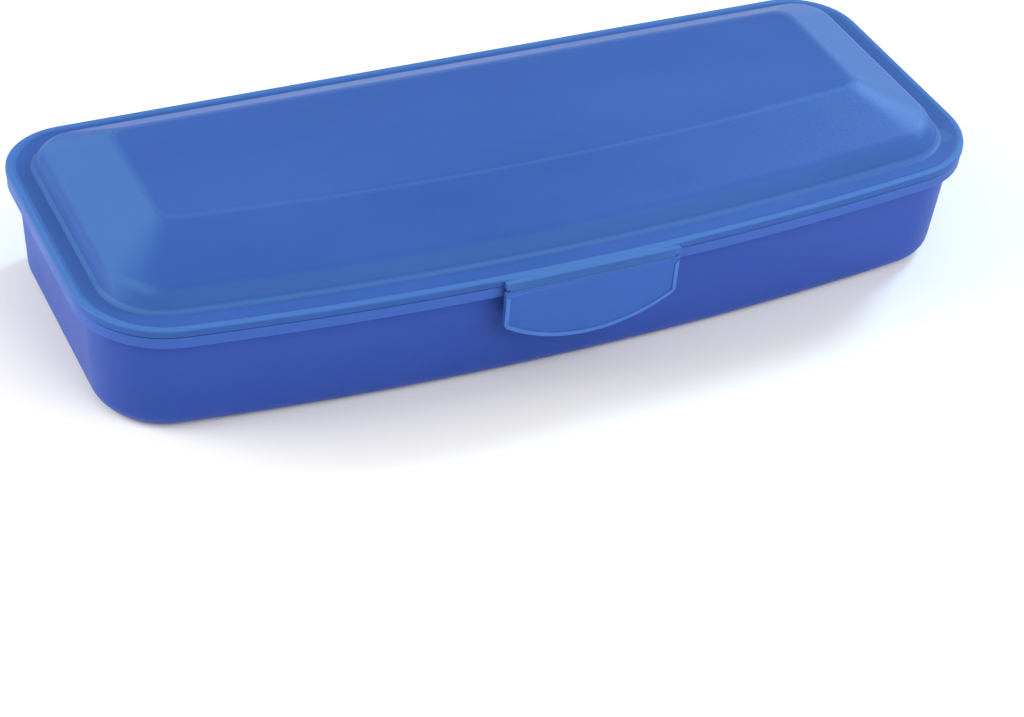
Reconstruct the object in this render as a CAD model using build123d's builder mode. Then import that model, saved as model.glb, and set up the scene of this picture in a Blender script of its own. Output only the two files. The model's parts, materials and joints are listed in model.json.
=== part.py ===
from build123d import *
from math import sqrt
import os

os.makedirs("parts", exist_ok=True)

# A snap-shut polypropylene pencil case: tray, domed lid, latch tab and two film hinges.
# The origin is on the table, under the middle of the rim. +X runs along the case, +Y to the
# back, where the lid is hinged, and +Z up. The case is drawn shut. Millimetres.

# Overall sizes. The rim is the widest line of the case, where the lid meets the tray.
length = 200.0  # rim, end to end
depth = 80.0  # rim, from the straight back to the middle of the bowed front
height = 35.3  # from the table to the lid's flat top
front_bow = 7.6  # how far the middle of the front stands ahead of its two ends
back_corner = 14.5  # plan radius of the rim's back corners
front_corner = 19.0  # plan radius of the rim's front corners

# Moulded walls.
wall = 1.3
lid_wall = 1.2
floor_wall = 1.5

# The tray: a drafted tub with a solid band around its mouth.
tray_height = 25.6
band_height = 2.5
band_setback = 0.2  # the lid's rim covers the band by this much
band_width = 2.1  # how far the band stands out from the wall under it
wall_draft = 1.6  # how far the wall leans in, from the band down to the table
bottom_round = 3.6
band_round = 0.35

# The lid: a flange with a bead on its edge, a steep shoulder, wide slopes and a flat top.
seam = 0.3  # clear height between the tray's band and the lid's flange
flange_thick = 1.1
flange_width = 5.4
bead_width = 1.4
bead_rise = 0.45
bead_round = 0.4
shoulder_height = 3.5
shoulder_lean = 1.8  # plan width of the shoulder at the ends and the back
front_lean = 4.2  # and at the front
end_slope = 13.8  # plan width of the slope at each end
front_slope = 16.9
back_slope = 9.1
top_corner = 4.0
crease_round = 5.0  # softens the fold between the slopes and the flat top
knee_round = 1.4  # softens the fold between the shoulder and the slopes
foot_round = 0.8  # inside corner where the shoulder leaves the flange

# The lip under the lid that drops into the tray's mouth and keeps the lid in line.
lip_thick = 1.1
lip_depth = 2.0
lip_clearance = 0.4

# The latch tab, which hangs from the front of the flange on its own film.
tab_width = 38.6
tab_side = 8.4  # straight part of each side, below the film
tab_sag = 5.8  # how far the middle of the curved lower edge hangs below its ends
tab_thick = 1.25
tab_gap = 0.5  # between the tab's back and the tray's band
tab_corner = 1.2
border_width = 0.9  # raised line around the sides and the lower edge
border_rise = 0.25
border_start = 0.7  # the raised line starts this far below the film, so that the tab can swing
catch_width = 32.0  # the catch stops short of the tab's sides
catch_reach = 2.0  # how far the catch stands in from the tab's back
catch_drop = 5.4  # from the catch's start to its crest
catch_foot = 1.8  # from the crest down to where the catch ends
catch_start = 0.2  # from the underside of the tray's band down to the catch
catch_round = 0.4

# The two film hinges, where the plastic is thin enough to bend.
film_thick = 0.35
film_height = 0.8  # free height of the tab's film
film_recess = 0.15  # how far that film lies behind the tab's plain face
back_film_inset = 20.0  # the lid's film stops this far from each end of the case
back_film_bend = 0.7  # radius of the folded film's middle

# Heights and places that follow.
flange_bottom = tray_height + seam
flange_top = flange_bottom + flange_thick
shoulder_top = flange_top + shoulder_height
rim_back = depth / 2
rim_front = -depth / 2
arc_radius = ((length / 2) ** 2 + front_bow**2) / (2 * front_bow)
shoulder_foot = flange_width
slope_foot = flange_width + shoulder_lean
front_slope_foot = flange_width + front_lean
tray_wall_in = band_setback + band_width
tray_floor_in = tray_wall_in + wall_draft
mouth_in = tray_wall_in + wall
knee_drop = 0.6 * lid_wall  # the hollow's fold lies this far below the shoulder's top
lip_in = mouth_in + lip_clearance
tab_back = rim_front + band_setback - tab_gap
tab_face = tab_back - tab_thick
tab_top = flange_bottom - film_height
side_end = tab_top - tab_side
rim_top = flange_top + bead_rise
catch_top = tray_height - band_height - catch_start
seam_middle = tray_height + seam / 2
film_foot = seam_middle - back_film_bend  # height at which the back film joins the tray
tab_axis = tab_face + border_rise + film_recess + film_thick / 2


def front_at(x, inset):
    """Where the bowed front line runs at x, this far inside the rim."""
    centre = rim_front + arc_radius
    return centre - sqrt((arc_radius - inset) ** 2 - x**2)


def plan(end_in, front_in, back_in, back_round, front_round):
    """The case's plan, drawn inside the rim: straight back and ends, and a bowed front."""
    right = length / 2 - end_in
    back = rim_back - back_in
    side = front_at(right, front_in)
    middle = front_at(0, front_in)
    with BuildSketch() as outline:
        with BuildLine():
            ThreePointArc((-right, side), (0, middle), (right, side))
            Line((right, side), (right, back))
            Line((right, back), (-right, back))
            Line((-right, back), (-right, side))
        make_face()
        fillet(outline.vertices().group_by(Axis.Y)[-1], back_round)
        fillet(outline.vertices().group_by(Axis.Y)[0], front_round)
    return outline.sketch


def rim_plan(inset):
    """The rim's own plan, evenly this far inside."""
    return plan(inset, inset, inset, back_corner - inset, front_corner - inset)


def knee_plan(inset):
    """The fold between the shoulder and the slopes, evenly this far inside."""
    side = slope_foot + inset
    front = front_slope_foot + inset
    return plan(side, front, side, back_corner - side, front_corner - side)


def top_plan(inset):
    """The lid's flat top, evenly this far inside its fold."""
    side = slope_foot + end_slope + inset
    front = front_slope_foot + front_slope + inset
    back = slope_foot + back_slope + inset
    return plan(side, front, back, top_corner - inset, top_corner - inset)


def level(edge, z):
    """Whether an edge lies in the level plane at this height."""
    box = edge.bounding_box()
    return abs(box.min.Z - z) < 0.001 and abs(box.max.Z - z) < 0.001


def inside_rim(edge):
    """Whether an edge lies well inside the rim, so that it isn't the flange's own edge."""
    middle = edge.position_at(0.5)
    return abs(middle.X) < length / 2 - 1 and rim_front + 1 < middle.Y < rim_back - 1


# The tray's hollow, cut from the tray below.
with BuildPart() as tray_hollow:
    with BuildSketch(Plane.XY.offset(floor_wall)):
        add(rim_plan(tray_floor_in + wall))
    with BuildSketch(Plane.XY.offset(tray_height - band_height)):
        add(rim_plan(mouth_in))
    loft(ruled=True)
    fillet(tray_hollow.edges().group_by(Axis.Z)[0], bottom_round - wall)
    with BuildSketch(Plane.XY.offset(tray_height - band_height)):
        add(rim_plan(mouth_in))
    extrude(amount=band_height + seam)

# The tray.
with BuildPart() as base_tray:
    with BuildSketch():
        add(rim_plan(tray_floor_in))
    with BuildSketch(Plane.XY.offset(tray_height - band_height)):
        add(rim_plan(tray_wall_in))
    loft(ruled=True)
    fillet(base_tray.edges().group_by(Axis.Z)[0], bottom_round)
    with BuildSketch(Plane.XY.offset(tray_height - band_height)):
        add(rim_plan(band_setback))
    extrude(amount=band_height)
    fillet(base_tray.edges().group_by(Axis.Z)[-1], band_round)
    add(tray_hollow.part, mode=Mode.SUBTRACT)

base_tray.part.label = "base_tray"
export_step(base_tray.part, "parts/base_tray.step")

# The lid's hollow, cut from the lid below.
with BuildPart() as lid_hollow:
    with BuildSketch(Plane.XY.offset(flange_bottom)):
        add(rim_plan(shoulder_foot + lid_wall))
    with BuildSketch(Plane.XY.offset(shoulder_top - knee_drop)):
        add(knee_plan(lid_wall))
    loft(ruled=True)
    with BuildSketch(Plane.XY.offset(shoulder_top - knee_drop)):
        add(knee_plan(lid_wall))
    with BuildSketch(Plane.XY.offset(height - lid_wall)):
        add(top_plan(lid_wall - knee_drop))
    loft(ruled=True)

# The lid.
with BuildPart() as lid_shell:
    with BuildSketch(Plane.XY.offset(flange_top)):
        add(rim_plan(shoulder_foot))
    with BuildSketch(Plane.XY.offset(shoulder_top)):
        add(knee_plan(0))
    loft(ruled=True)
    with BuildSketch(Plane.XY.offset(shoulder_top)):
        add(knee_plan(0))
    with BuildSketch(Plane.XY.offset(height)):
        add(top_plan(0))
    loft(ruled=True)
    fillet(lid_shell.edges().group_by(Axis.Z)[-1], crease_round)
    knee = lid_shell.edges().filter_by(lambda edge: level(edge, shoulder_top))
    fillet(knee, knee_round)
    with BuildSketch(Plane.XY.offset(flange_bottom)):
        add(rim_plan(0))
    extrude(amount=flange_thick)
    foot = lid_shell.edges().filter_by(lambda edge: level(edge, flange_top) and inside_rim(edge))
    fillet(foot, foot_round)
    with BuildSketch(Plane.XY.offset(flange_top)):
        add(rim_plan(0))
        add(rim_plan(bead_width), mode=Mode.SUBTRACT)
    extrude(amount=bead_rise)
    fillet(lid_shell.edges().filter_by(lambda edge: level(edge, rim_top)), bead_round)
    with BuildSketch(Plane.XY.offset(flange_bottom)):
        with Locations((0, (tab_face + rim_front + bead_width) / 2)):
            Rectangle(tab_width, rim_front + bead_width - tab_face)
    extrude(amount=rim_top - flange_bottom)
    land_edges = lid_shell.edges().group_by(Axis.Y)[0]
    fillet(land_edges.filter_by(Axis.X).sort_by(Axis.Z)[-1], bead_round)
    with BuildSketch(Plane.XY.offset(flange_bottom - lip_depth)):
        add(rim_plan(lip_in))
        add(rim_plan(lip_in + lip_thick), mode=Mode.SUBTRACT)
    extrude(amount=lip_depth)
    add(lid_hollow.part, mode=Mode.SUBTRACT)

lid_shell.part.label = "lid_shell"
export_step(lid_shell.part, "parts/lid_shell.step")

# The latch tab, with a raised line around its edge and a catch across its back.
with BuildPart() as latch_tab:
    with BuildSketch(Plane.XZ.offset(-tab_back)):
        with BuildLine():
            Line((-tab_width / 2, side_end), (-tab_width / 2, tab_top))
            Line((-tab_width / 2, tab_top), (tab_width / 2, tab_top))
            Line((tab_width / 2, tab_top), (tab_width / 2, side_end))
            ThreePointArc(
                (tab_width / 2, side_end), (0, side_end - tab_sag), (-tab_width / 2, side_end)
            )
        tab_shape = make_face()
        fillet(tab_shape.vertices().group_by(Axis.Y)[0], tab_corner)
    extrude(amount=tab_thick)
    with BuildSketch(Plane.XZ.offset(-tab_face)):
        offset(latch_tab.faces().sort_by(Axis.Y)[0], amount=-border_width)
        with Locations((0, tab_top)):
            Rectangle(tab_width, 2 * border_start)
            Rectangle(tab_width - 2 * border_width, 4 * border_width)
    extrude(amount=-border_rise, mode=Mode.SUBTRACT)
    with BuildSketch(Plane.YZ.offset(-catch_width / 2)):
        with BuildLine():
            Polyline(
                (tab_back, catch_top),
                (tab_back + catch_reach, catch_top - catch_drop),
                (tab_back, catch_top - catch_drop - catch_foot),
                close=True,
            )
        make_face()
    extrude(amount=catch_width)
    crest = latch_tab.edges().sort_by(Axis.Y)[-1]
    fillet(crest, catch_round)

latch_tab.part.label = "latch_tab"
export_step(latch_tab.part, "parts/latch_tab.step")

# The tab's film, which bends when the tab is pulled out.
with BuildPart() as latch_film:
    with BuildSketch(Plane.XY.offset(tab_top)):
        with Locations((0, tab_axis)):
            Rectangle(tab_width - 2 * border_width, film_thick)
    extrude(amount=film_height)

latch_film.part.label = "latch_film"
export_step(latch_film.part, "parts/latch_film.step")

# The lid's film along the back, folded while the case is shut.
with BuildPart() as hinge_film:
    with BuildSketch(Plane.YZ.offset(back_film_inset - length / 2)):
        with BuildLine():
            CenterArc((rim_back, seam_middle), back_film_bend, 90, -180)
            Line((rim_back, film_foot), (rim_back - band_setback, film_foot))
        trace(line_width=film_thick)
    extrude(amount=length - 2 * back_film_inset)

hinge_film.part.label = "hinge_film"
export_step(hinge_film.part, "parts/hinge_film.step")
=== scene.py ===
# %% [markdown]
# # A snap-shut pencil case in blue polypropylene
# The real case is one moulding: a shallow tray, a domed lid and a latch tab, joined by films thin
# enough to bend. Its plan is the same line everywhere, with a straight back, two straight ends
# and a front that bows out, only drawn smaller or larger. So every shell here is skinned over a
# stack of such lines. Carving a box with booleans would also work, but it leaves no clean edges
# to round, and a soft moulding is all rounded edges.
#
# The first cell loads the engineered model as a fixed frame. It says where everything goes.

# %% Load the frame
import json
import math

import bmesh
import bpy
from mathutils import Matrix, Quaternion, Vector

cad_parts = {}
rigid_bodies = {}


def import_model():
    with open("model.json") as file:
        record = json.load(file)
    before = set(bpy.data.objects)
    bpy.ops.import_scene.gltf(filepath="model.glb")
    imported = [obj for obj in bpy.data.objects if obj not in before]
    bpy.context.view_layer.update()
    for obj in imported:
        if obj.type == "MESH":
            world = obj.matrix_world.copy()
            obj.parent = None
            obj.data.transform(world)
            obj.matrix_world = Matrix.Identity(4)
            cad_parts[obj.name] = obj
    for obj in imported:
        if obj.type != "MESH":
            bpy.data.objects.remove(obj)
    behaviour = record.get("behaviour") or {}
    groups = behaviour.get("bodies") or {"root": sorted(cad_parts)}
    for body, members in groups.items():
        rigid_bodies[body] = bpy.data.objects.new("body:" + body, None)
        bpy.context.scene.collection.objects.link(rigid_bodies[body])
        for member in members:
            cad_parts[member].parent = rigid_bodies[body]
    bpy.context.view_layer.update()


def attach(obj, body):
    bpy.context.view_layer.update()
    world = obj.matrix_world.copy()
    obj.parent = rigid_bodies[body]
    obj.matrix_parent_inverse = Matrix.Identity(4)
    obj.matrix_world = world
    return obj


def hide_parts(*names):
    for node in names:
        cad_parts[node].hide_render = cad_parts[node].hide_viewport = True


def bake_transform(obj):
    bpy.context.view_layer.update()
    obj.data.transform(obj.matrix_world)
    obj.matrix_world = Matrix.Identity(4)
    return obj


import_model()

MM = 0.001

# %% [markdown]
# ## The plan line
# Four sizes fix the line of the rim: its length, its depth, the bow of its front and the radii of
# its corners. A smaller line keeps the same centres and takes the inset off every radius, which
# is what an even offset does. The front of the lid slopes more than its ends, so the front may
# have an inset of its own.

# %% Sizes of the rim
LENGTH = 200 * MM
DEPTH = 80 * MM
FRONT_BOW = 7.6 * MM
BACK_CORNER = 14.5 * MM
FRONT_CORNER = 19 * MM
TAB_WIDTH = 38.6 * MM

ARC_RADIUS = ((LENGTH / 2) ** 2 + FRONT_BOW**2) / (2 * FRONT_BOW)
ARC_CENTRE = ARC_RADIUS - DEPTH / 2
TAB_ANGLE = math.asin(TAB_WIDTH / 2 / ARC_RADIUS)
print("the front is an arc of", round(ARC_RADIUS / MM, 1), "mm radius")

# %% [markdown]
# ## Helpers for the work in edit mode
# Every piece is drawn in edit mode, as by hand. It starts as an empty mesh. Operators act on
# whatever is selected, so each helper first deselects everything and then selects by place.

# %% Start a piece
def start_piece(name):
    """Adds an empty mesh in edit mode, ready to be drawn in."""
    bpy.ops.object.select_all(action="DESELECT")
    bpy.ops.mesh.primitive_plane_add(size=MM)
    piece = bpy.context.object
    piece.name = piece.data.name = name
    bpy.ops.object.mode_set(mode="EDIT")
    bpy.ops.mesh.select_mode(type="VERT")
    bpy.ops.mesh.select_all(action="SELECT")
    bpy.ops.mesh.delete(type="VERT")
    print("started", piece.name)
    return piece


# %% Choose parts of a piece
SELECT_MODES = {"verts": "VERT", "edges": "EDGE", "faces": "FACE"}


def choose(kind, test):
    """Selects the points, edges or faces whose middle passes the test, and says how many."""
    bpy.ops.mesh.select_all(action="DESELECT")
    bpy.ops.mesh.select_mode(type=SELECT_MODES[kind])
    mesh = bmesh.from_edit_mesh(bpy.context.object.data)
    mesh.normal_update()
    found = 0
    for part in getattr(mesh, kind):
        if kind == "verts":
            middle = part.co
        elif kind == "edges":
            middle = (part.verts[0].co + part.verts[1].co) / 2
        else:
            middle = part.calc_center_median()
        if test(middle / MM, part):
            part.select_set(True)
            found += 1
    bmesh.update_edit_mesh(bpy.context.object.data)
    return found


def choose_rings(*rings):
    """Selects the points of these rings, and the edges between them."""
    bpy.ops.mesh.select_all(action="DESELECT")
    bpy.ops.mesh.select_mode(type="VERT")
    for ring in rings:
        bpy.ops.object.vertex_group_set_active(group=ring)
        bpy.ops.object.vertex_group_select()


print("points, edges, faces and whole rings can be chosen")

# %% [markdown]
# ## Drawing a ring
# A ring is one closed plan line. It is drawn by spinning a point: round the front arc, round a
# corner, straight along an end, and so on back to the start. Every ring has the same number of
# points, so two of them bridge into clean four-sided faces. Each ring also carries a bevel
# weight, which says how softly its fold is rounded later.

# %% Describe a plan line
def plan(side, front=None, back_round=None, front_round=None, back=None):
    """A plan line: its insets from the rim at the ends, front and back, and its corner radii."""
    front = side if front is None else front
    back = side if back is None else back
    back_round = BACK_CORNER / MM - side if back_round is None else back_round
    front_round = FRONT_CORNER / MM - side if front_round is None else front_round
    return [size * MM for size in (side, front, back, back_round, front_round)]


print("the rim's own line, in mm:", [round(size / MM, 2) for size in plan(0)])

# %% Draw a ring
WIDEST_BEVEL = 4 * MM  # a bevel weight of 1 stands for this width
CORNER_STEPS = 12
TAB_STEPS = 4  # the arc over half of the tab has its own points, so that the tab's sides meet one
FRONT_STEPS = 14
WELD = 0.01 * MM  # points nearer than this are one


def spin(centre, height, turn, steps):
    """Spins the selected point about an upright axis, clockwise seen from above."""
    bpy.ops.mesh.spin(steps=steps, angle=turn, center=(*centre, height), axis=(0, 0, 1))


def draw_on(x, y, z):
    """Draws on from the selected point in a straight line, by this much in mm."""
    bpy.ops.mesh.extrude_vertices_move(TRANSFORM_OT_translate={"value": Vector((x, y, z)) * MM})


def draw_ring(height, line, soften=0.0):
    """Draws one closed plan line at this height in mm, with the bevel that its fold will get."""
    side, front, back, back_round, front_round = line
    z = height * MM
    end = LENGTH / 2 - side
    rear = DEPTH / 2 - back
    radius = ARC_RADIUS - front
    corner_x = end - front_round
    turn = math.asin(corner_x / (radius - front_round))
    corner_y = ARC_CENTRE - (radius - front_round) * math.cos(turn)
    bpy.ops.mesh.select_all(action="DESELECT")
    bpy.ops.mesh.primitive_plane_add(size=MM, location=(0, ARC_CENTRE - radius, z))
    bpy.ops.mesh.merge(type="CENTER")
    spin((0, ARC_CENTRE), z, TAB_ANGLE, TAB_STEPS)
    spin((0, ARC_CENTRE), z, turn - TAB_ANGLE, FRONT_STEPS)
    spin((-corner_x, corner_y), z, math.pi / 2 - turn, CORNER_STEPS)
    draw_on(0, (rear - back_round - corner_y) / MM, 0)
    spin((back_round - end, rear - back_round), z, math.pi / 2, CORNER_STEPS)
    draw_on((end - back_round) / MM, 0, 0)
    draw_on((end - back_round) / MM, 0, 0)
    spin((end - back_round, rear - back_round), z, math.pi / 2, CORNER_STEPS)
    draw_on(0, (corner_y - rear + back_round) / MM, 0)
    spin((corner_x, corner_y), z, math.pi / 2 - turn, CORNER_STEPS)
    spin((0, ARC_CENTRE), z, turn - TAB_ANGLE, FRONT_STEPS)
    spin((0, ARC_CENTRE), z, TAB_ANGLE, TAB_STEPS)
    bpy.ops.mesh.select_linked()
    bpy.ops.mesh.remove_doubles(threshold=WELD)
    bpy.ops.transform.edge_bevelweight(value=soften * MM / WIDEST_BEVEL)
    bpy.ops.object.vertex_group_assign_new()
    return bpy.context.object.vertex_groups[-1].name


ring_points = 2 * (TAB_STEPS + FRONT_STEPS + 2 * CORNER_STEPS + 2)
print("a ring has", ring_points, "points")

# %% [markdown]
# ## Skinning a stack and finishing the piece
# A shell is a stack of rings, up its outside and down its inside. Bridging each ring to the next
# makes the skin, and the first and last ring are filled. One bevel modifier then rounds every
# fold at once, by the weights that the rings carry, and weighted normals keep the flat faces flat
# to the eye.

# %% Skin a stack of rings
APART = 20  # mm between the rings of a stack while it is drawn


def skin(stack):
    """Bridges a stack of rings in order, fills the first and the last, and settles the heights.

    Two rings at one height bridge badly, so the stack is drawn pulled apart.
    """
    rings = [draw_ring(APART * place, line, soften)
             for place, (height, line, soften) in enumerate(stack)]
    for lower, upper in zip(rings, rings[1:]):
        choose_rings(lower, upper)
        bpy.ops.mesh.bridge_edge_loops()
    for ring in (rings[0], rings[-1]):
        choose_rings(ring)
        bpy.ops.mesh.edge_face_add()
    for place, (height, line, soften) in enumerate(stack):
        choose_rings(rings[place])
        bpy.ops.transform.translate(value=(0, 0, (height - APART * place) * MM))
    bpy.ops.object.vertex_group_remove(all=True)
    bpy.ops.mesh.select_all(action="SELECT")
    bpy.ops.mesh.normals_make_consistent(inside=False)
    print("skinned over", len(rings), "rings")


# %% Round a piece's folds and give it its place in the frame
BEVEL_SEGMENTS = 6
SHARPEST_SMOOTH = math.radians(40)  # folds sharper than this stay crisp in the shading


def modify(kind, **settings):
    """Adds a modifier with these settings and applies it."""
    modifier = bpy.context.object.modifiers.new(kind.title(), kind)
    for key, value in settings.items():
        setattr(modifier, key, value)
    bpy.ops.object.modifier_apply(modifier=modifier.name)


def finish_piece(body, node):
    """Rounds the marked folds, smooths the shading, gives the piece its body and hides the frame's
    node.

    A film joins two bodies, so it gets none here.
    """
    piece = bpy.context.object
    bpy.ops.mesh.select_all(action="SELECT")
    bpy.ops.mesh.normals_make_consistent(inside=False)
    bpy.ops.object.mode_set(mode="OBJECT")
    bpy.ops.object.transform_apply(location=True, rotation=True, scale=True)
    modify("BEVEL", width=WIDEST_BEVEL, segments=BEVEL_SEGMENTS, limit_method="WEIGHT",
           use_clamp_overlap=False)
    bpy.ops.object.shade_smooth_by_angle(angle=SHARPEST_SMOOTH)
    modify("WEIGHTED_NORMAL", keep_sharp=True)
    if body:
        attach(piece, body)
    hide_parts(node)
    low, high = (Vector(corner) / MM for corner in (piece.bound_box[0], piece.bound_box[6]))
    print(piece.name, len(piece.data.polygons), "faces,",
          "from", [round(v, 2) for v in low], "to", [round(v, 2) for v in high], "mm")
    return piece


# %% [markdown]
# ## The tray
# The tray is a drafted tub: its wall leans in towards the table so that the moulding leaves its
# mould. A solid band stands out around the mouth, and the lid's rim rests over it. The stack runs
# up the outside, over the band, and down the inside to the floor.

# %% Model the tray
TRAY_HEIGHT = 25.6
BAND_FOOT = TRAY_HEIGHT - 2.5
FLOOR = 1.5

start_piece("tray_moulding")
skin([  # each ring: its height, its line, and the width of its rounding, in mm
    (0, plan(3.9), 3.6),  # the underside
    (BAND_FOOT, plan(2.3), 0.25),  # where the wall meets the band
    (BAND_FOOT, plan(0.2), 0.3),  # the band's lower edge
    (TRAY_HEIGHT, plan(0.2), 0.15),  # the band's upper edge
    (TRAY_HEIGHT, plan(3.6), 0.3),  # the mouth
    (BAND_FOOT, plan(3.6), 0.3),  # inside, level with the band's lower edge
    (FLOOR, plan(5.2), 2.3),  # the floor
])
tray = finish_piece("tray", "base_tray")

# %% [markdown]
# ## The lid
# From its edge inwards the lid has a flange with a bead along its edge, a steep shoulder, four
# wide slopes and a flat top. Underneath, a lip drops into the tray's mouth and keeps the lid in
# line. The front shoulder leans in more than the others, so those rings have a deeper front.

# %% Model the lid
FLANGE_FOOT = 25.9
FLANGE_TOP = 27.0
RIM_TOP = 27.45
SHOULDER_TOP = 30.5
LID_TOP = 35.3
LIP_FOOT = 23.9
LID_WALL = 1.2
KNEE_DROP = 0.72  # how much lower the knee is inside than outside
NEAR = 0.01


def knee_plan(inset):
    """The knee, which is the fold between the shoulder and the slopes."""
    return plan(7.2 + inset, front=9.6 + inset)


def top_plan(inset):
    """The edge of the flat top."""
    return plan(21 + inset, front=26.5 + inset, back=16.3 + inset,
                back_round=4 - inset, front_round=4 - inset)


start_piece("lid_moulding")
skin([
    (LID_TOP, top_plan(0), 1.5),  # the flat top
    (SHOULDER_TOP, knee_plan(0), 1.5),  # the knee
    (FLANGE_TOP, plan(5.4), 0.6),  # the shoulder's foot
    (FLANGE_TOP, plan(2.1), 0.3),  # the bead's foot
    (RIM_TOP, plan(1.3), 0.3),  # the bead's inner edge
    (RIM_TOP, plan(0), 0.45),  # the rim's upper edge
    (FLANGE_FOOT, plan(0), 0.1),  # the rim's lower edge
    (FLANGE_FOOT, plan(4.0), 0.15),  # underneath, the lip's outer foot
    (LIP_FOOT, plan(4.0), 0.25),
    (LIP_FOOT, plan(5.1), 0.25),
    (FLANGE_FOOT, plan(5.1), 0.15),  # and its inner foot
    (FLANGE_FOOT, plan(6.6), 0.4),  # where the shoulder begins inside
    (SHOULDER_TOP - KNEE_DROP, knee_plan(LID_WALL), 0.3),
    (LID_TOP - LID_WALL, top_plan(LID_WALL - KNEE_DROP), 0.9),  # the ceiling
])

# %% [markdown]
# ### A crisper front fold
# The four folds round the flat top aren't alike: the one along the front is crisper. Its bevel
# weight is lowered, and it keeps its place.

# %% Sharpen the front fold
FRONT_OF_TOP = -11  # mm; only the top's front fold lies ahead of this line
SHARPER_BY = 0.9  # mm taken off the fold's rounding
crisp = choose("edges", lambda m, edge: m.z > LID_TOP - NEAR and m.y < FRONT_OF_TOP)
bpy.ops.transform.edge_bevelweight(value=-SHARPER_BY * MM / WIDEST_BEVEL)
print(crisp, "edges of the front fold made crisper")

# %% [markdown]
# ### The land over the tab
# Over the tab the lid's rim steps forward, so that the tab hangs clear of the tray. The rim's
# outer faces above the tab are extruded, then scaled flat onto the tab's own plane.

# %% Bring the rim forward over the tab
TAB_FACE = -41.55
TAB_HALF = TAB_WIDTH / MM / 2
FORWARD_FACING = -0.9  # a face whose normal has a Y below this looks to the front
rim_faces = choose("faces", lambda m, face: abs(m.x) < TAB_HALF and m.y < 1 - DEPTH / MM / 2
                   and face.normal.y < FORWARD_FACING and FLANGE_FOOT < m.z < RIM_TOP)
bpy.ops.mesh.extrude_region_move(TRANSFORM_OT_translate={"value": (0, -MM, 0)})
bpy.ops.transform.resize(value=(1, 0, 1), center_override=(0, TAB_FACE * MM, 0))
print(rim_faces, "faces of the rim brought forward")
lid = finish_piece("lid", "lid_shell")

# %% [markdown]
# ## The latch tab
# The tab is a thin plate with straight sides and a curved lower edge. It is drawn flat, as it
# hangs: round the lower edge, up one side, across, and closed into a face. The face is then
# pulled forward into a plate.

# %% Model the tab's plate
TAB_BACK = -40.3
TAB_TOP = 25.1
SIDE_END = 16.7
TAB_SAG = 5.8
TAB_CORNER = 0.9
SAG_STEPS = 28
BORDER_RISE = 0.25
PLAIN_FACE = TAB_FACE + BORDER_RISE
sag_radius = (TAB_HALF**2 + TAB_SAG**2) / (2 * TAB_SAG)

start_piece("tab_moulding")
bpy.ops.mesh.primitive_plane_add(size=MM, location=Vector((TAB_HALF, TAB_BACK, SIDE_END)) * MM)
bpy.ops.mesh.merge(type="CENTER")
bpy.ops.mesh.spin(steps=SAG_STEPS, angle=2 * math.asin(TAB_HALF / sag_radius), axis=(0, -1, 0),
                  center=(0, TAB_BACK * MM, (SIDE_END - TAB_SAG + sag_radius) * MM))
draw_on(0, 0, TAB_TOP - SIDE_END)
draw_on(2 * TAB_HALF, 0, 0)
bpy.ops.mesh.select_all(action="SELECT")
bpy.ops.mesh.edge_face_add()
choose("verts", lambda m, point: abs(m.x) > TAB_HALF - NEAR and m.z < SIDE_END + NEAR)
bpy.ops.mesh.bevel(affect="VERTICES", offset=TAB_CORNER * MM, segments=5, clamp_overlap=False)
bpy.ops.mesh.select_all(action="SELECT")
bpy.ops.mesh.extrude_region_move(
    TRANSFORM_OT_translate={"value": (0, (PLAIN_FACE - TAB_BACK) * MM, 0)})
bpy.ops.mesh.select_all(action="SELECT")
bpy.ops.mesh.normals_make_consistent(inside=False)
print("the tab's lower edge is an arc of", round(sag_radius, 1), "mm radius")

# %% [markdown]
# ### The raised line and the catch
# A raised line follows the tab's sides and lower edge and stiffens them. It stops just below the
# film, or it would stop the tab from swinging up. An inset makes its faces, and all but the
# topmost are extruded. Behind the tab, a wedge clicks under the tray's band. Cutting the back
# face into strips and pulling out one line of points makes it, with no boolean.

# %% Raise the line, pull out the catch
BORDER_WIDTH = 0.9
LINE_TOP = TAB_TOP - 0.7
CATCH_TOP = 22.9
CATCH_CREST = 17.5
CATCH_FOOT = 15.7
CATCH_HALF = 16.0
CATCH_FLANK = 0.3  # plan width of the catch's steep sides
CATCH_REACH = 2.0
BORDER_FACES = 30 * MM**2  # the plate's own front is larger than this, the border's faces smaller


def cut(test, point, normal):
    """Cuts the faces that pass the test along a plane through this point."""
    choose("faces", test)
    bpy.ops.mesh.bisect(plane_co=Vector(point) * MM, plane_no=normal)


def on_front(m, face):
    """The plate's front."""
    return face.normal.y < FORWARD_FACING and m.y < PLAIN_FACE + NEAR


def on_back(m, face):
    """The plate's back."""
    return face.normal.y > -FORWARD_FACING


cut(on_front, (0, 0, LINE_TOP), (0, 0, 1))
choose("faces", lambda m, face: on_front(m, face) and m.z < LINE_TOP)
bpy.ops.mesh.inset(thickness=BORDER_WIDTH * MM, use_even_offset=True)
raised = choose("faces", lambda m, face: on_front(m, face) and face.calc_area() < BORDER_FACES
                and m.z < LINE_TOP - BORDER_WIDTH)
bpy.ops.mesh.extrude_region_move(TRANSFORM_OT_translate={"value": (0, -BORDER_RISE * MM, 0)})
for height in (CATCH_TOP, CATCH_CREST, CATCH_FOOT):
    cut(on_back, (0, 0, height), (0, 0, 1))
for side in (-CATCH_HALF - CATCH_FLANK, -CATCH_HALF, CATCH_HALF, CATCH_HALF + CATCH_FLANK):
    cut(on_back, (side, 0, 0), (1, 0, 0))
crest = choose("verts", lambda m, point: abs(m.y - TAB_BACK) < NEAR
               and abs(m.z - CATCH_CREST) < NEAR and abs(m.x) < CATCH_HALF + NEAR)
bpy.ops.transform.translate(value=(0, CATCH_REACH * MM, 0))
print(raised, "faces raised and", crest, "points pulled out")

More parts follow.
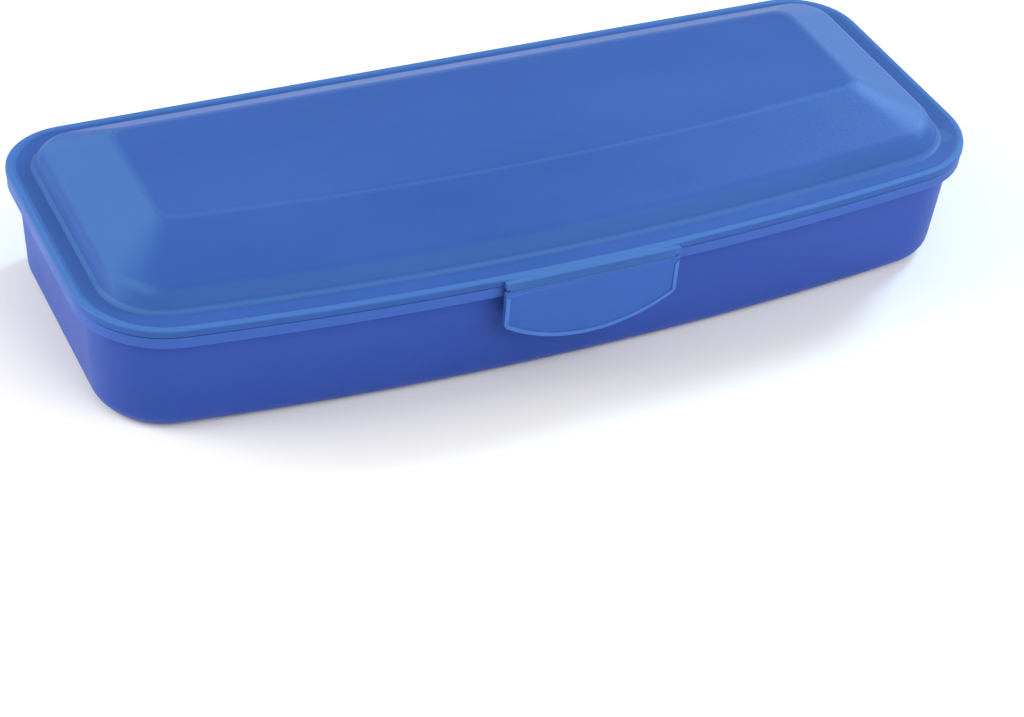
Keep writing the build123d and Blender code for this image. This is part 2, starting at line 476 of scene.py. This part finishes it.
# %% [markdown]
# ### The tab's edges
# Nothing on a moulding is knife sharp, and a finger lifts this tab. The edges of the raised line
# are marked for a fine rounding, and the catch's crest, which rides over the band, for a larger
# one.

# %% Soften the tab's edges
LINE_ROUND = 0.12
CREST_ROUND = 0.35


def soften(size, test):
    """Marks the edges whose two ends pass the test with the rounding they will get."""
    found = choose("edges", lambda m, edge: all(test(end.co / MM) for end in edge.verts))
    bpy.ops.transform.edge_bevelweight(value=size * MM / WIDEST_BEVEL)
    print(found, "edges will be rounded by", size, "mm")


soften(LINE_ROUND, lambda m: m.y < PLAIN_FACE + NEAR)
soften(CREST_ROUND, lambda m: m.y > TAB_BACK + CATCH_REACH - NEAR)
tab = finish_piece("tab", "latch_tab")

# %% [markdown]
# ## The two film hinges
# A film hinge is the same plastic moulded so thin that it bends for years. The tab's film is a
# short upright strip. It starts as a block, is cut into thin courses so that it can bend, and is
# pinched in the middle, where a real one is thinnest.

# %% Model the tab's film
FILM_HALF = TAB_HALF - BORDER_WIDTH
FILM_MIDDLE = -40.975
FILM_ROOT = 0.55  # how thick the film is where it joins the lid and the tab
PINCHES = ((0.31, 0.75), (0.21, 0.6), (0.05, 0.55))  # within this height, this much is left
film_centre = Vector((0, FILM_MIDDLE, (TAB_TOP + FLANGE_FOOT) / 2))

start_piece("tab_film")
bpy.ops.mesh.primitive_cube_add(size=MM, location=film_centre * MM, scale=(
    2 * FILM_HALF, FILM_ROOT, FLANGE_FOOT - TAB_TOP))
choose("edges", lambda m, edge: abs(edge.verts[0].co.z - edge.verts[1].co.z) > NEAR * MM)
bpy.ops.mesh.subdivide(number_cuts=7)
for rise, left in PINCHES:
    choose("verts", lambda m, point: abs(m.z - film_centre.z) < rise)
    bpy.ops.transform.resize(value=(1, math.sqrt(left), 1), center_override=film_centre * MM)
tab_film = finish_piece(None, "latch_film")
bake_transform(tab_film)

# %% [markdown]
# ### The lid's film
# The lid's film runs along the back. While the case is shut the real film is folded in a small
# loop, and it opens out as the lid swings over; here it is drawn folded. Its section is drawn by
# spinning a point half round, then pulled along the back, and Solidify gives it its thickness.

# %% Model the lid's film
LOOP_RADIUS = 0.7
LOOP_HEIGHT = 25.75
LOOP_BACK = 40.0
BAND_BACK = 39.8
LID_FILM_HALF = 80.0
LOOP_STEPS = 14
FILM_THICK = 0.35

start_piece("lid_film")
bpy.ops.mesh.primitive_plane_add(
    size=MM, location=Vector((-LID_FILM_HALF, BAND_BACK, LOOP_HEIGHT - LOOP_RADIUS)) * MM)
bpy.ops.mesh.merge(type="CENTER")
draw_on(0, LOOP_BACK - BAND_BACK, 0)
bpy.ops.mesh.spin(steps=LOOP_STEPS, angle=math.pi, axis=(-1, 0, 0),
                  center=Vector((-LID_FILM_HALF, LOOP_BACK, LOOP_HEIGHT)) * MM)
bpy.ops.mesh.select_all(action="SELECT")
bpy.ops.mesh.extrude_region_move(
    TRANSFORM_OT_translate={"value": (2 * LID_FILM_HALF * MM, 0, 0)})
bpy.ops.object.mode_set(mode="OBJECT")
modify("SOLIDIFY", thickness=FILM_THICK * MM, offset=0)
bpy.ops.object.mode_set(mode="EDIT")
lid_film = finish_piece(None, "hinge_film")
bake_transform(lid_film)

# %% [markdown]
# ## The finish: moulded polypropylene
# Polypropylene is a soft, slightly waxy plastic. A little blue pigment leaves it translucent:
# light sinks in a millimetre or two and comes out again, so shadows stay soft. Its edges and rims
# get a painted highlight and its end slopes painted light, paler than the rest. The mould was
# spark-eroded, so the surface is finely grained and its gloss is broad.
# Principled BSDF has all of that: subsurface for the milkiness, an IOR of 1.49, and roughness and
# bump from noise. Colours are written as on a screen, and one function turns them to linear
# values.

# %% Turn a screen colour to linear values
def linear(code):
    """An sRGB hex colour as linear red, green, blue and alpha."""
    channels = [int(code[i:i + 2], 16) / 255 for i in (1, 3, 5)]
    return [c / 12.92 if c <= 0.04045 else ((c + 0.055) / 1.055) ** 2.4 for c in channels] + [1]


print("half grey on a screen is", round(linear("#808080")[0], 3), "in linear light")

# %% Add a node
def add_node(material, kind, links=None, **settings):
    """Adds a node, sets its properties and inputs, and links the inputs that come from others."""
    node = material.node_tree.nodes.new(kind)
    for key, value in settings.items():
        if key in node.bl_rna.properties:
            setattr(node, key, value)
        else:
            node.inputs[key.replace("_", " ")].default_value = value
    for name, source in (links or {}).items():
        material.node_tree.links.new(source, node.inputs[name])
    return node


print("nodes are added with their settings and links")

# %% [markdown]
# ### Clouds in the colour
# Plastic that flows into a mould doesn't mix evenly, so the pigment lies in faint clouds, drawn
# out along the case. A noise texture in the piece's own millimetres gives them, and a colour ramp
# runs between two near shades.

# %% Cloud the pigment
FLOW = 28 * MM  # width of a cloud
DRAWN_OUT = 0.45  # the pattern is squeezed by this along the case, which draws its clouds out
CLEAR, CLOUDED = 0.3, 0.62  # where in the noise the deeper shade ends and the plainer begins


def flow_clouds(material, place, deep, plain):
    """The clouds as a value, and the colour that runs between these two shades."""
    drawn = add_node(material, "ShaderNodeMapping", {"Vector": place}, Scale=(DRAWN_OUT, 1, 1))
    clouds = add_node(material, "ShaderNodeTexNoise", {"Vector": drawn.outputs["Vector"]},
                      Scale=1 / FLOW, Detail=3, Roughness=0.55).outputs["Fac"]
    shades = add_node(material, "ShaderNodeValToRGB", {"Fac": clouds})
    ends = zip(shades.color_ramp.elements, (CLEAR, CLOUDED), (deep, plain))
    for stop, position, shade in ends:
        stop.position = position
        stop.color = linear(shade)
    return clouds, shades.outputs["Color"]


print("a cloud is", FLOW / MM, "mm wide and", round(FLOW / DRAWN_OUT / MM), "mm long")

# %% [markdown]
# ### Where light is painted
# A moulding is paler where light is painted on it: a painted highlight on its rounded edges,
# along a rim or a raised line, on the shoulder and the fold round the top, and painted light on
# slopes that lie towards a window. Edges come from Pointiness, a rim from its distance along an
# axis, and slopes from the way their surface faces.

# %% Find where light is painted
EDGE_HIGHLIGHT = (0.51, 0.58)  # Pointiness, from flat to a rounded edge with a painted highlight
LEVEL_OR_TILTED = (0.1, 0.3)  # the normal's X, from level to the tilt of an end slope
STEEP_OR_GENTLE = (0.65, 0.92)  # the normal's Z, from a steep wall to a gentle slope


def painted_light_places(material, coordinates, bands, edge_highlight, ends):
    """How much painted highlight and painted light each place gets, from 0 to 1.

    In a band, the painted highlight fades in and out again between four distances in mm along one
    axis.
    """
    # Rounded edges get a painted highlight, found by Pointiness.
    edges = add_node(material, "ShaderNodeNewGeometry").outputs["Pointiness"]
    parts = [add_node(material, "ShaderNodeMapRange", {"Value": edges},
                      From_Min=EDGE_HIGHLIGHT[0], From_Max=EDGE_HIGHLIGHT[1], To_Min=0, To_Max=edge_highlight)]
    # Gentle slopes that tilt towards the ends get painted light, as from the windows.
    facing = add_node(material, "ShaderNodeSeparateXYZ", {"Vector": coordinates["Normal"]}).outputs
    endwise = add_node(material, "ShaderNodeMath", {0: facing["X"]}, operation="ABSOLUTE")
    tilted = add_node(material, "ShaderNodeMapRange", {"Value": endwise.outputs[0]},
                      interpolation_type="SMOOTHSTEP", From_Min=LEVEL_OR_TILTED[0],
                      From_Max=LEVEL_OR_TILTED[1], To_Min=0, To_Max=ends)
    gently = add_node(material, "ShaderNodeMapRange", {"Value": facing["Z"]},
                      interpolation_type="SMOOTHSTEP", From_Min=STEEP_OR_GENTLE[0],
                      From_Max=STEEP_OR_GENTLE[1])
    parts.append(add_node(material, "ShaderNodeMath",
                          {0: tilted.outputs[0], 1: gently.outputs[0]}, operation="MULTIPLY"))
    # Each band paints a highlight that fades in and out along its axis.
    for axis, share, enters, full, leaves, gone in bands:
        reach = add_node(material, "ShaderNodeVectorMath", {0: coordinates["Object"]},
                         operation="DOT_PRODUCT")
        reach.inputs[1].default_value = axis
        rising, falling = (
            add_node(material, "ShaderNodeMapRange", {"Value": reach.outputs["Value"]},
                     interpolation_type="SMOOTHSTEP", From_Min=low * MM, From_Max=high * MM,
                     To_Min=first, To_Max=last)
            for low, high, first, last in ((enters, full, 0, share), (leaves, gone, share, 0)))
        parts.append(add_node(material, "ShaderNodeMath",
                              {0: rising.outputs[0], 1: falling.outputs[0]}, operation="MINIMUM"))
    most_painted_light = parts[0]
    for part in parts[1:]:
        most_painted_light = add_node(material, "ShaderNodeMath", {0: most_painted_light.outputs[0], 1: part.outputs[0]},
                          operation="MAXIMUM")
    return most_painted_light.outputs[0]


# The worn edges named here are a painted highlight on rounded edges, and the end slopes and bands
# get painted light.
print("paleness comes from worn edges, end slopes and bands")

# %% [markdown]
# ### Moulded polypropylene
# The shader joins the colours, with their painted highlights, to a broad gloss that varies with
# the clouds, a grained relief, and light that scatters a little way under the surface, blue
# furthest.

# %% Make the plastic
GRAIN = 0.6 * MM  # the mould's grain is nearer 0.1 mm, which would be too fine to show
GRAIN_DEPTH = 0.1 * MM
GLOSSIER, DULLER = 0.38, 0.5  # roughness, between clear plastic and clouds
SCATTER = 1.2 * MM  # how far light travels under the surface


def moulded_polypropylene(name, deep, plain, painted_highlight_colour, bands, edge_highlight=0.55, ends=0.0):
    """Translucent, finely grained plastic in three near shades; the third is a painted highlight
    on edges, bands and end slopes.
    """
    material = bpy.data.materials.new(name)
    material.use_nodes = True
    shader = material.node_tree.nodes["Principled BSDF"]
    coordinates = add_node(material, "ShaderNodeTexCoord").outputs
    clouds, shade = flow_clouds(material, coordinates["Object"], deep, plain)
    painted_light = painted_light_places(material, coordinates, bands, edge_highlight, ends)
    # The painted highlight colour is mixed over the clouded shade where light is painted.
    colour = add_node(material, "ShaderNodeMix", {"Factor": painted_light, 6: shade}, data_type="RGBA")
    colour.inputs[7].default_value = linear(painted_highlight_colour)
    gloss = add_node(material, "ShaderNodeMapRange", {"Value": clouds},
                     From_Min=0.3, From_Max=0.7, To_Min=GLOSSIER, To_Max=DULLER)
    grains = add_node(material, "ShaderNodeTexNoise", {"Vector": coordinates["Object"]},
                      Scale=1 / GRAIN, Detail=2, Roughness=0.5)
    relief = add_node(material, "ShaderNodeBump", {"Height": grains.outputs["Fac"]},
                      Strength=0.4, Distance=GRAIN_DEPTH)
    link = material.node_tree.links.new
    link(colour.outputs[2], shader.inputs["Base Color"])
    link(gloss.outputs["Result"], shader.inputs["Roughness"])
    link(relief.outputs["Normal"], shader.inputs["Normal"])
    shader.inputs["IOR"].default_value = 1.49
    shader.inputs["Specular IOR Level"].default_value = 0.2
    shader.inputs["Specular Tint"].default_value = linear("#8CCBFF")
    shader.inputs["Subsurface Weight"].default_value = 0.4
    shader.inputs["Subsurface Radius"].default_value = (0.4, 0.8, 2.0)
    shader.inputs["Subsurface Scale"].default_value = SCATTER
    print(material.name, "from", deep, "and", plain, "to", painted_highlight_colour)
    return material


# %% [markdown]
# ### A shade for each piece
# All of the case is one shot of plastic. The tray's colours are painted deeper, as painted shade,
# because its wall shades itself. The rims, the shoulder, the tab's raised line and the fold round
# the flat top get a painted highlight, paler than what they border, and the lid's end slopes get
# painted light. Each band is an axis, a share of the painted highlight, and the four distances
# where it fades in and out.

# %% Give each piece its plastic
UP = (0, 0, 1)
FORWARD = (0, -1, 0)
# Painted shade: the tray's deep and plain colours are darker than the lid's. Its band gets a
# painted highlight.
tray_blue_painted_deeper = moulded_polypropylene(
    "tray_moulded_polypropylene", "#304A9D", "#354FA3", "#3F60AE",
    [(UP, 1.0, BAND_FOOT - 0.2, BAND_FOOT + 0.1, 30, 31)])
# The lid's rim, shoulder and the fold round its top get painted highlights, and its end slopes
# painted light.
lid_blue = moulded_polypropylene(
    "lid_moulded_polypropylene", "#325597", "#38599E", "#446CA7",
    [(UP, 1.0, FLANGE_TOP + 0.05, RIM_TOP - 0.05, RIM_TOP + 0.05, RIM_TOP + 0.55),
     (UP, 0.25, RIM_TOP + 0.3, RIM_TOP + 1, SHOULDER_TOP - 0.8, SHOULDER_TOP),
     (UP, 0.4, LID_TOP - 0.4, LID_TOP - 0.2, LID_TOP - 0.15, LID_TOP - 0.05)], ends=0.85)
# The tab's raised line gets a painted highlight.
tab_blue = moulded_polypropylene(
    "tab_moulded_polypropylene", "#375CA8", "#3B60AE", "#4A74BA",
    [(FORWARD, 1.0, 0.05 - PLAIN_FACE, 0.2 - PLAIN_FACE, 50, 51)])
# The films are painted paler from 25 mm up, as a painted highlight.
film_blue = moulded_polypropylene(
    "film_moulded_polypropylene", "#345BA0", "#3A62A8", "#446FB2", [(UP, 1.0, 25, 26, 30, 31)],
    edge_highlight=0.0)
for piece, plastic in ((tray, tray_blue_painted_deeper), (lid, lid_blue), (tab, tab_blue),
                       (lid_film, film_blue), (tab_film, film_blue)):
    piece.data.materials.append(plastic)
print("the tray, the lid, the tab and both films have their plastic")

# %% [markdown]
# ## The floor
# A plain pale floor takes the case's soft shadow and throws light back at its sides.

# %% Lay the floor
FLOOR_SIZE = 6  # metres, so that its edge stays far behind the case

bpy.ops.object.select_all(action="DESELECT")
bpy.ops.mesh.primitive_plane_add(size=FLOOR_SIZE)
floor = bpy.context.object
floor.name = "floor"
paper = bpy.data.materials.new("pale_paper")
paper.use_nodes = True
paper_shader = paper.node_tree.nodes["Principled BSDF"]
paper_shader.inputs["Base Color"].default_value = linear("#F6F4EF")
paper_shader.inputs["Roughness"].default_value = 0.9
floor.data.materials.append(paper)
print("the floor is", FLOOR_SIZE, "m wide")

# %% [markdown]
# ## Light
# The room is white all round, as in a light tent. One large soft window stands on the left, a
# smaller one under a blue sky behind on the right, and a broad light fills in from the front. So
# each slope of the lid has a tone of its own, and the fold at its front right corner catches a
# soft highlight.

# %% Make the room white
world = bpy.data.worlds.new("white_room")
bpy.context.scene.world = world
world.use_nodes = True
world.node_tree.nodes["Background"].inputs["Color"].default_value = (1, 1, 1, 1)
world.node_tree.nodes["Background"].inputs["Strength"].default_value = 0.48
bpy.context.scene.view_settings.view_transform = "Standard"
print("the room is", world.name)


# %% Hang the windows
def soft_light(name, place, size, power, colour):
    """A square soft light at this place in metres, aimed at the case."""
    light = bpy.data.objects.new(name, bpy.data.lights.new(name, "AREA"))
    bpy.context.scene.collection.objects.link(light)
    light.data.size = size
    light.data.energy = power
    light.data.color = linear(colour)[:3]
    light.location = place
    light.rotation_mode = "QUATERNION"
    light.rotation_quaternion = (-Vector(place)).to_track_quat("-Z", "Y")
    print(name, "gives", power, "W from", round(Vector(place).length, 2), "m")


soft_light("left_window", (-0.85, 0.3, 0.52), 0.6, 8.5, "#FFFFFF")
soft_light("right_window", (0.8, 0.34, 0.6), 0.22, 7.0, "#B8E0FF")
soft_light("front_fill", (0.35, -0.8, 0.75), 0.9, 8.5, "#FFFFFF")

# %% [markdown]
# ## Camera
# The camera looks down on the case from the front left, a little tilted, with a long lens from
# over half a metre away. A wide lens from nearer would make the near corner look too large.

# %% Place the camera
EYE = Vector((-210.91, -401.67, 327.07)) * MM
AIM = Vector((-22.07, -51.18, 17.0)) * MM
ROLL = math.radians(5.53)
camera = bpy.data.objects.new("camera", bpy.data.cameras.new("camera"))
bpy.context.scene.collection.objects.link(camera)
camera.data.lens = 90.86
camera.data.sensor_width = 36
camera.data.clip_start = 0.01
camera.location = EYE
camera.rotation_mode = "QUATERNION"
camera.rotation_quaternion = (AIM - EYE).to_track_quat("-Z", "Y") @ Quaternion((0, 0, 1), ROLL)
bpy.context.scene.camera = camera
print("the camera stands", round((AIM - EYE).length, 3), "m from what it looks at")
